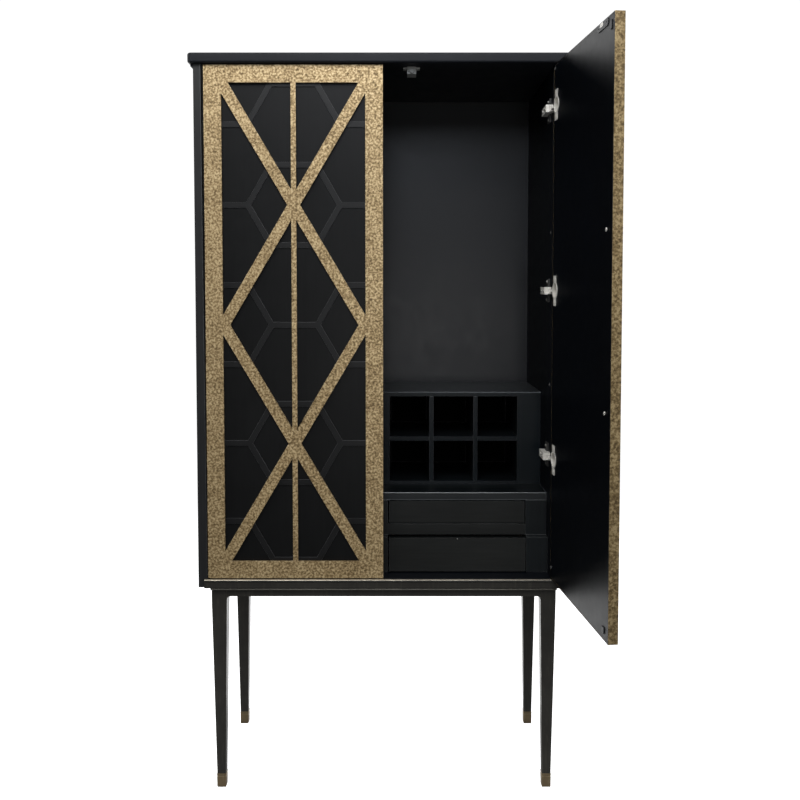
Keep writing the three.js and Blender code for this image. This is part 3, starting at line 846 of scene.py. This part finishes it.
COVE_REACH = 6
COVE_HEIGHT = 11
COVE_FRONT, COVE_BACK = 2, BACK_FACE - 4
COVE_LIP = 0.5
COVE_STEPS = 8
COVE_HOLLOW = 0.1


def make_cove(side, hand):
    """A small hollow moulding under the slab's overhang"""
    inner, outer = sorted((hand * CASE_HALF, hand * (CASE_HALF + COVE_REACH)))
    low = SLAB_BOTTOM - COVE_HEIGHT
    cove = board((inner, COVE_FRONT, low), (outer, COVE_BACK, SLAB_BOTTOM))
    corner = at(hand * (CASE_HALF + COVE_REACH), 0, low)

    def lower_outer(middle, direction):
        near = abs(middle.x - corner.x) < MM and abs(middle.z - corner.z) < MM
        return near and abs(direction.y) > RUNS

    round_edges(cove, lower_outer, COVE_REACH - COVE_LIP, COVE_STEPS, COVE_HOLLOW)
    ease(cove, 0.3)
    deliver(cove, f"slab_cove_{side}", "cabinet", "slab_lacquer", SLAB_BLACK)


def dress_case(screw, cap):
    for side, hand in SIDES:
        dress(
            f"case_side_{side}",
            (CHARCOAL, CHARCOAL_HIGHLIGHT, DOOR_INSIDE, GAP_SHADOW_BLACK),
            width=0.9,
            paint=side_paint,
            edge_finish=EDGE,
            shape=ease_inner_arris,
        )
        make_cove(side, hand)
        caps = [((hand * WALL, COVER_CAP_Y, z), (-hand, 0, 0)) for z in COVER_CAP_Z]
        scatter(cap, caps, f"cover_caps_{side}", "cabinet", "latch_plastic", CLEAR_PAD)
    make_slab()
    finishes = (INNER_BLACK, INNER_HIGHLIGHT, LIT_LEDGE_BLACK)
    dress("case_floor", finishes, width=0.5, paint=face_paint, edge_finish=EDGE)
    finishes = (INNER_BLACK, CHARCOAL)
    dress("back_panel", finishes, width=0.6, paint=back_paint, shape=countersink)
    level = BACK_FACE - BACK_SCREW_SUNK
    heads = [((x, level, z), (0, 1, 0)) for x, z in back_screw_places()]
    scatter(screw, heads, "back_screws", "cabinet", "hinge_nickel", STEEL)


# Drawers and bottle rack

RACK_TOP_LEVEL = 875
RACK_FACE = 163
RIM_ROUND = 2.4
PIN_DROP = 2
FELT_THICK = 1.6
FELT_GAP = 0.4

# Finishes of the rack, after the main one, the edges and the faces; the fourth is painted light on the top, the
# fifth a painted glint on its rim
LIT_TOP, GLINT_LIP = 3, 4


def face_paint(centre, normal):
    """The faces that look out of the cabinet have a finish of their own; on the case floor and the case top it is
    much lighter than the inside, painted light on the lit front
    """
    return FACE if normal.y < -MOSTLY else MAIN


def front_paint(centre, normal):
    """A drawer front has its third finish, black painted shadow, where it faces its gaps"""
    return MAIN if normal.y < -MOSTLY else FACE


def carcass_paint(centre, normal):
    """The top of the bottle rack is painted lighter than its cells, as painted light, and its rim lightest, as a
    painted glint
    """
    if place_of(centre).z < RACK_TOP_LEVEL:
        return face_paint(centre, normal)
    if LEANS < normal.z < FLAT and normal.y < -LEANS:
        return GLINT_LIP
    return LIT_TOP if normal.z > MOSTLY else face_paint(centre, normal)


def round_rack_rim(rack):
    """The long front edge of the rack's top is rounder than the edges of its cells, and carries the painted glint
    """

    def top_front(middle, direction):
        place = place_of(middle)
        near = place.z > RACK_TOP_LEVEL and place.y < RACK_FACE + NEAR
        return near and abs(direction.x) > RUNS

    round_edges(rack, top_front, RIM_ROUND, ROUND_STEPS)


def dress_drawers(side, pin):
    finishes = (DRAWER_BLACK, DRAWER_HIGHLIGHT, GAP_SHADOW_BLACK)
    for level in ("upper", "lower"):
        front = f"drawer_front_{level}_{side}"
        dress(front, finishes, 0.8, steps=3, paint=front_paint, edge_finish=EDGE)
        dress(f"drawer_box_{level}_{side}", (DRAWER_WOOD,), width=0.7)
    lower = f"drawer_front_lower_{side}"
    low, high = corners_of(lower)
    places = [(((low.x + high.x) / 2, low.y, high.z - PIN_DROP), (0, -1, 0))]
    scatter(pin, places, f"drawer_pin_{side}", BODY_OF[lower], "hinge_nickel", STEEL)


def dress_inside(pin):
    ledge = (GLOSS_BLACK, LEDGE_HIGHLIGHT, LIT_LEDGE_BLACK)
    dress("drawer_case_top", ledge, 1.2, 3, paint=face_paint, edge_finish=EDGE)
    gloss = (GLOSS_BLACK, GLOSS_HIGHLIGHT, FACE_BLACK)
    dress(
        "rack_carcass",
        (*gloss, RACK_LIT_TOP, RACK_GLINT),
        width=1.0,
        steps=3,
        paint=carcass_paint,
        edge_finish=EDGE,
        shape=round_rack_rim,
    )
    dress("drawer_divider", (DRAWER_BLACK, DRAWER_HIGHLIGHT), 0.8, edge_finish=EDGE)
    for side, _ in SIDES:
        dress(f"column_{side}", (COLUMN_BLACK, DRAWER_HIGHLIGHT), 0.8, edge_finish=EDGE)
        dress_drawers(side, pin)
        boards = [f"rack_shelf_{side}"]
        boards += [f"rack_divider_{side}_{number}" for number in (1, 2)]
        for name in boards:
            dress(name, gloss, width=0.7, paint=face_paint, edge_finish=EDGE)
        line_cells(side)


def line_cells(side):
    """A black felt pad at the back of each bottle cell, standing for the shade deep in the cells"""
    low, high = corners_of(f"rack_shelf_{side}")
    edges = [low.x, high.x]
    for number in (1, 2):
        first, last = corners_of(f"rack_divider_{side}_{number}")
        edges += [first.x, last.x]
    edges.sort()
    rows = (first.z, high.z)
    width = edges[1] - edges[0] - 2 * FELT_GAP
    height = low.z - first.z - 2 * FELT_GAP
    pad = board((0, high.y - FELT_THICK, 0), (width, high.y, height))
    ease(pad, 0.5)
    steps = [
        Vector((x + FELT_GAP, 0, z + FELT_GAP)) * MM for x in edges[::2] for z in rows
    ]
    pads = joined([copied(pad, Matrix.Translation(step)) for step in steps])
    bpy.data.objects.remove(pad)
    deliver(pads, f"cell_felt_{side}", "cabinet", "satin_lacquer", CELL_SHADE_FELT)


# Doors

LATTICE_BACK = 7.9
FRET_THICK = 5.6
FRET_FREE, FRET_HUNG, FRET_FOOT, FRET_HEAD = 10, 380, 492, 1598
BAR_TRIM = 1.5
FREE_EDGE = 5
RIM_SLOPE = 2
NEARLY_BACK = 0.95
BOLT_X, BOLT_Z = 33, (898, 1230)
SIDE_PAD_X, SIDE_PAD_Z = 379, (1598, 508)
# Name, near and far edge, foot and height of each stop pad
STOP_PADS = (("lower", 20, 32, 495, 12), ("upper", 14, 21, 1580, 17))
STOP_PAD_THICK = 1.8

# Finishes of the door panels and the frets, beside the main one and the inside; the lattice's rim finish is a
# painted highlight on its edges
LATTICE, LATTICE_RIM = 1, 3
FRET_RIM = 3


def closed_view(side):
    """Gives a face's place and direction as they are with the door closed"""
    closed = hung(side).inverted()
    turn = closed.to_3x3()
    return lambda centre, normal: (place_of(closed @ centre), turn @ normal)


def panel_painter(side):
    """The lattice stands before the panel, whose back is the door's inside"""
    view = closed_view(side)

    def paint(centre, normal):
        place, look = view(centre, normal)
        if place.y < LATTICE_BACK:
            return LATTICE
        return INSIDE if look.y > MOSTLY else MAIN

    return paint


def rim_painter(side):
    """The outer edges of a door are gilded darker than its front"""
    view = closed_view(side)

    def paint(centre, normal):
        place, look = view(centre, normal)
        outward = abs(look.y) < MOSTLY
        return FRET_RIM if outward and place.y > FRET_THICK else MAIN

    return paint


def bar_slimmer(side):
    """Gives the work that takes a little off every bar of the fret, in its openings"""
    view = closed_view(side)

    def opening(centre, normal):
        place, look = view(centre, normal)
        within = FRET_FREE < abs(place.x) < FRET_HUNG and (
            FRET_FOOT < place.z < FRET_HEAD
        )
        return within and place.y < FRET_THICK and abs(look.y) < MOSTLY

    def work(piece):
        choose_faces(piece, opening)
        bpy.ops.transform.shrink_fatten(value=-BAR_TRIM * MM, use_even_offset=True)
        set_down()

    return work


def paint_rim_back(fret, side):
    """The rim's back and slopes are lacquered, but for the slope of the free edge, which keeps its paler gilding:
    rubbed and a painted highlight
    """
    view = closed_view(side)
    for face in fret.data.polygons:
        place, look = view(face.center, face.normal)
        rubbed = abs(place.x) < FREE_EDGE and look.y < NEARLY_BACK
        if place.y > DOOR_BACK - RIM_SLOPE and look.y > LEANS and not rubbed:
            face.material_index = INSIDE


def dress_doors(cap):
    for side, hand in SIDES:
        body = f"{side}_door"
        way = hung(side)
        fret = dress(
            f"door_fret_{side}",
            (GOLD, GOLD_EDGE_HIGHLIGHT, DOOR_INSIDE, GOLD_RIM),
            width=1.7,
            steps=3,
            paint=rim_painter(side),
            edge_finish=EDGE,
            shape=bar_slimmer(side),
        )
        paint_rim_back(fret, side)
        dress(
            f"door_panel_{side}",
            (PANEL_BLACK, LATTICE_BLACK, DOOR_INSIDE, LATTICE_HIGHLIGHT),
            width=0.5,
            paint=panel_painter(side),
            edge_finish=LATTICE_RIM,
        )
        for name, x, heights, slot, finish in (
            ("bolt_caps", BOLT_X, BOLT_Z, "hinge_nickel", NICKEL),
            ("hinge_side_pads", SIDE_PAD_X, SIDE_PAD_Z, "latch_plastic", CLEAR_PAD),
        ):
            places = [((hand * x, DOOR_BACK, z), (0, 1, 0)) for z in heights]
            scatter(cap, places, f"{name}_{side}", body, slot, finish, way)
        for level, near, far, foot, tall in STOP_PADS:
            low, high = sorted((hand * near, hand * far))
            back = DOOR_BACK + STOP_PAD_THICK
            pad = board((low, DOOR_BACK, foot), (high, back, foot + tall))
            ease(pad, 0.7, steps=3)
            pad.data.transform(way)
            name = f"stop_pad_{level}_{side}"
            deliver(pad, name, body, "satin_lacquer", BLACK_PLASTIC)
        make_strike(side, hand, way)


STRIKE_X = 64
STRIKE_Z = 1599.5
STRIKE_HALF, STRIKE_HALF_HIGH = 30, 7
STRIKE_THICK = 1.4
STRIKE_CORNER = 6.5
STRIKE_SEAT = 1.3
DIMPLE_FROM_END = 8
DIMPLE = {"tip": 0.6, "mouth": 2.4, "length": 1.6, "sides": 16}
STEEL_X, STEEL_HALF = 70, 8
STEEL_DOWN, STEEL_UP = 1.5, 6.2
STEEL_FACE = 1.7
STEEL_CORNER = 1.5


def make_strike(side, hand, way):
    """Black plate with round ends and dimples, and the steel that the latch meets"""
    body = f"{side}_door"
    middle = hand * STRIKE_X
    plate = board(
        (middle - STRIKE_HALF, DOOR_BACK, STRIKE_Z - STRIKE_HALF_HIGH),
        (middle + STRIKE_HALF, DOOR_BACK + STRIKE_THICK, STRIKE_Z + STRIKE_HALF_HIGH),
    )
    round_edges(plate, running(ALONG_Y), STRIKE_CORNER, 7)
    seat = DOOR_BACK + STRIKE_SEAT
    reach = STRIKE_HALF - DIMPLE_FROM_END
    dimples = [
        drill((middle + step, seat, STRIKE_Z), **DIMPLE) for step in (-reach, reach)
    ]
    cut(plate, joined(dimples))
    ease(plate, 0.25)
    plate.data.transform(way)
    deliver(plate, f"strike_plate_{side}", body, "satin_lacquer", BLACK_PLASTIC)
    middle = hand * STEEL_X
    steel = board(
        (middle - STEEL_HALF, seat, STRIKE_Z - STEEL_DOWN),
        (middle + STEEL_HALF, DOOR_BACK + STEEL_FACE, STRIKE_Z + STEEL_UP),
    )
    round_edges(steel, running(ALONG_Y), STEEL_CORNER, 4)
    ease(steel, 0.25)
    steel.data.transform(way)
    deliver(steel, f"strike_steel_{side}", body, "hinge_nickel", NICKEL)


# Hinges and latches

ARM_HALF = 10
CUP_SCREW_X, CUP_SCREW_STEP = 367, 24
CROSS_FLOOR, CROSS_TOP = 20.2, 22
CROSS_LONG, CROSS_THIN = 2.6, 0.6
# How far the screws stand from the wall, and where along the arm
PLATE_SCREW_OFF, PLATE_SCREW_Y, PLATE_SCREW_STEP = 4, 58, 20
ARM_SCREW_OFF, ARM_SCREW_Y = 15.5, (36, 66)
LATCH_X, LATCH_Y = 62, 43
EAR_STEP, EAR_THICK = 14, 3
# Finish of the wings of a mounting plate: nickel darkened as painted shade
PAINTED_SHADE = 2


def cross_recesses(side, hand, z):
    """Gives the work that cuts a cross in each screw head of a hinge cup"""
    x = hand * CUP_SCREW_X

    def work(piece):
        for wide, high in ((CROSS_LONG, CROSS_THIN), (CROSS_THIN, CROSS_LONG)):
            bars = []
            for head in (z - CUP_SCREW_STEP, z + CUP_SCREW_STEP):
                low = (x - wide, CROSS_FLOOR, head - high)
                bars.append(board(low, (x + wide, CROSS_TOP, head + high)))
            cutter = joined(bars)
            cutter.data.transform(hung(side))
            cut(piece, cutter)

    return work


def arm_painter(z):
    """The wings of the mounting plate are painted dark: painted shade of the arm"""

    def paint(centre, normal):
        return PAINTED_SHADE if abs(place_of(centre).z - z) > ARM_HALF else MAIN

    return paint


def dress_hinges(screw):
    bright = (NICKEL, NICKEL_HIGHLIGHT)
    for side, hand in SIDES:
        screws = []
        inward = (-hand, 0, 0)
        for number in (1, 2, 3):
            cup = f"hinge_cup_{side}_{number}"
            arm = f"hinge_arm_{side}_{number}"
            link = f"hinge_link_{side}_{number}"
            low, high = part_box(cup)
            z = place_of((low + high) / 2).z
            recesses = cross_recesses(side, hand, z)
            dress(cup, bright, width=0.25, edge_finish=EDGE, shape=recesses)
            dress(arm, (*bright, NICKEL_PAINTED_SHADE), 0.6, steps=3, paint=arm_painter(z))
            dress(link, bright, width=0.4, edge_finish=EDGE)
            x = hand * (WALL - PLATE_SCREW_OFF)
            for step in (-PLATE_SCREW_STEP, PLATE_SCREW_STEP):
                screws.append(((x, PLATE_SCREW_Y, z + step), inward))
            x = hand * (WALL - ARM_SCREW_OFF)
            for y in ARM_SCREW_Y:
                screws.append(((x, y, z), inward))
        scatter(screw, screws, f"arm_screws_{side}", "cabinet", "hinge_nickel", STEEL)


def dress_latches(screw):
    level = SLAB_BOTTOM - EAR_THICK
    for side, hand in SIDES:
        dress(f"latch_body_{side}", (GREY_PLASTIC,), width=0.7, steps=3)
        dress(f"latch_plunger_{side}", (GREY_PLASTIC,), width=0.8, steps=3)
        ears = [
            ((hand * LATCH_X + step, LATCH_Y, level), (0, 0, -1))
            for step in (-EAR_STEP, EAR_STEP)
        ]
        scatter(screw, ears, f"latch_screws_{side}", "cabinet", "hinge_nickel", STEEL)


# Stand

BEAD_GILT_FROM = 478.6
STAND_TOP = 459
STAND_PLATE = 455
STAND_SCREW_X, STAND_SCREW_Y = (-250, 0, 250), (23, 317)
LEG_OUTER = 383.5
PLINTH_FACE = -4
LIP_PROUD, LIP_HIGH, LIP_BACK = 0.6, 3, 1
GROOVE_LOW, GROOVE_HIGH = 24.5, 26.5
GROOVE_DEPTH = 0.7
# Finish of the bead on the plinth rail
GILDED = 1


def bead_paint(centre, normal):
    """The bead along the top of the plinth rail is gilded"""
    return GILDED if place_of(centre).z > BEAD_GILT_FROM else MAIN


def plate_paint(centre, normal):
    """The thin rim of the stand's top plate is painted lighter: a painted highlight"""
    rim = place_of(centre).z > STAND_PLATE + NEAR and abs(normal.z) < MOSTLY
    return EDGE if rim else MAIN


def groove(piece):
    """A groove around the foot, near its top"""
    take_up(piece)
    for z in (GROOVE_LOW, GROOVE_HIGH):
        bpy.ops.object.mode_set(mode="EDIT")
        bpy.ops.mesh.select_all(action="SELECT")
        bpy.ops.mesh.bisect(plane_co=at(0, 0, z), plane_no=(0, 0, 1))
        bpy.ops.object.mode_set(mode="OBJECT")

    def band(centre, normal):
        level = GROOVE_LOW < place_of(centre).z < GROOVE_HIGH
        return level and abs(normal.z) < MOSTLY

    choose_faces(piece, band)
    bpy.ops.mesh.extrude_region_shrink_fatten(
        TRANSFORM_OT_shrink_fatten={
            "value": -GROOVE_DEPTH * MM,
            "use_even_offset": True,
        }
    )
    set_down()


def make_lip():
    """A thin moulding where the plinth meets the stand, in the lighter edge bronze: a painted highlight"""
    lip = board(
        (-LEG_OUTER, PLINTH_FACE - LIP_PROUD, STAND_TOP - LIP_HIGH),
        (LEG_OUTER, LIP_BACK, STAND_TOP),
    )
    ease(lip, 1.1, steps=3)
    deliver(lip, "stand_lip", "cabinet", "bronze_finish", BRONZE_EDGE_HIGHLIGHT)


def dress_stand(screw):
    make_lip()
    bronze = (BRONZE, BRONZE_EDGE_HIGHLIGHT)
    dress("plinth_rail", (BRONZE, GILT), width=0.4, paint=bead_paint, smooth=50)
    dress("stand_frame", bronze, width=0.8, paint=plate_paint, edge_finish=EDGE)
    for end in ("front", "rear"):
        for side, _ in SIDES:
            leg = f"leg_{end}_{side}"
            foot = f"foot_{end}_{side}"
            dress(leg, bronze, width=1.1, edge_finish=EDGE)
            dress(foot, (BRASS, BRASS_EDGE_HIGHLIGHT), 0.7, edge_finish=EDGE, shape=groove)
    places = [
        ((x, y, STAND_PLATE), (0, 0, -1)) for x in STAND_SCREW_X for y in STAND_SCREW_Y
    ]
    scatter(screw, places, "stand_screws", "cabinet", "hinge_nickel", STEEL)


# Room

COOL = (0.93, 1.0, 1.12)
# Name, place, what it points at, width, height, power and tint of each lamp
LAMPS = (
    ("key_softbox", (-150, -1600, 3000), (0, 0, 1200), 2300, 1200, 76, WHITE),
    ("front_softbox", (20, -2300, 2310), (100, 400, 1300), 780, 780, 11.2, COOL),
    ("low_softbox", (250, -2300, 900), (100, 400, 800), 700, 450, 5.5, WHITE),
    ("floor_bounce", (0, -150, 1), (0, -150, 1000), 1700, 900, 1.0, WHITE),
    ("left_strip", (-2600, -500, 1300), (0, 100, 900), 900, 1900, 32, WHITE),
    ("right_strip", (2600, 500, 1500), (0, 200, 900), 700, 1900, 14, WHITE),
    ("back_wall", (0, 3300, 900), (0, 0, 900), 5200, 4600, 138, WHITE),
)
ROOM_TINT = (0.93, 0.97, 1.0)
ROOM_GLOW = 0.12
FLOOR_RADIUS, FLOOR_SIDES = 14, 96


def add_lamp(name, place, target, width, height, power, tint):
    start, end = at(*place), at(*target)
    bpy.ops.object.light_add(type="AREA", location=start)
    lamp = bpy.context.object
    lamp.name = name
    lamp.rotation_euler = (end - start).to_track_quat("-Z", "Y").to_euler()
    lamp.data.shape = "RECTANGLE"
    lamp.data.size = width * MM
    lamp.data.size_y = height * MM
    lamp.data.energy = power
    lamp.data.color = tint
    lamp.visible_camera = False


def light_room():
    """Softboxes, and a room that is dim for the object and white for the camera"""
    for lamp in LAMPS:
        add_lamp(*lamp)
    bpy.context.scene.view_settings.view_transform = "Standard"
    world = bpy.data.worlds.new("studio")
    world.use_nodes = True
    tree = world.node_tree
    room = tree.nodes["Background"]
    sweep = tree.nodes.new("ShaderNodeBackground")
    for node, tint, glow in ((room, ROOM_TINT, ROOM_GLOW), (sweep, WHITE, ROOM_WHITE)):
        node.inputs["Color"].default_value = (*tint, 1)
        node.inputs["Strength"].default_value = glow
    path = tree.nodes.new("ShaderNodeLightPath")
    mix = tree.nodes.new("ShaderNodeMixShader")
    tree.links.new(path.outputs["Is Camera Ray"], mix.inputs[0])
    tree.links.new(room.outputs["Background"], mix.inputs[1])
    tree.links.new(sweep.outputs["Background"], mix.inputs[2])
    tree.links.new(mix.outputs["Shader"], tree.nodes["World Output"].inputs["Surface"])
    bpy.context.scene.world = world


def lay_floor():
    set_down()
    bpy.ops.mesh.primitive_circle_add(
        vertices=FLOOR_SIDES, radius=FLOOR_RADIUS, fill_type="NGON"
    )
    floor = bpy.context.object
    floor.name = "studio_floor"
    fix_place(floor)
    floor.data.materials.append(floor_paint())
    floor.visible_diffuse = False
    floor.visible_glossy = False
    floor.visible_shadow = False


place_camera()
SCREW = make_screw(radius=3.4, height=1.4, recess=0.8)
CAP = make_cap(radius=3.6, height=1.5)
PIN = make_cap(radius=1.3, height=1.0)
dress_case(SCREW, CAP)
dress_inside(PIN)
dress_doors(CAP)
dress_hinges(SCREW)
dress_latches(SCREW)
dress_stand(SCREW)
for master in (SCREW, CAP, PIN):
    bpy.data.objects.remove(master)
light_room()
lay_floor()
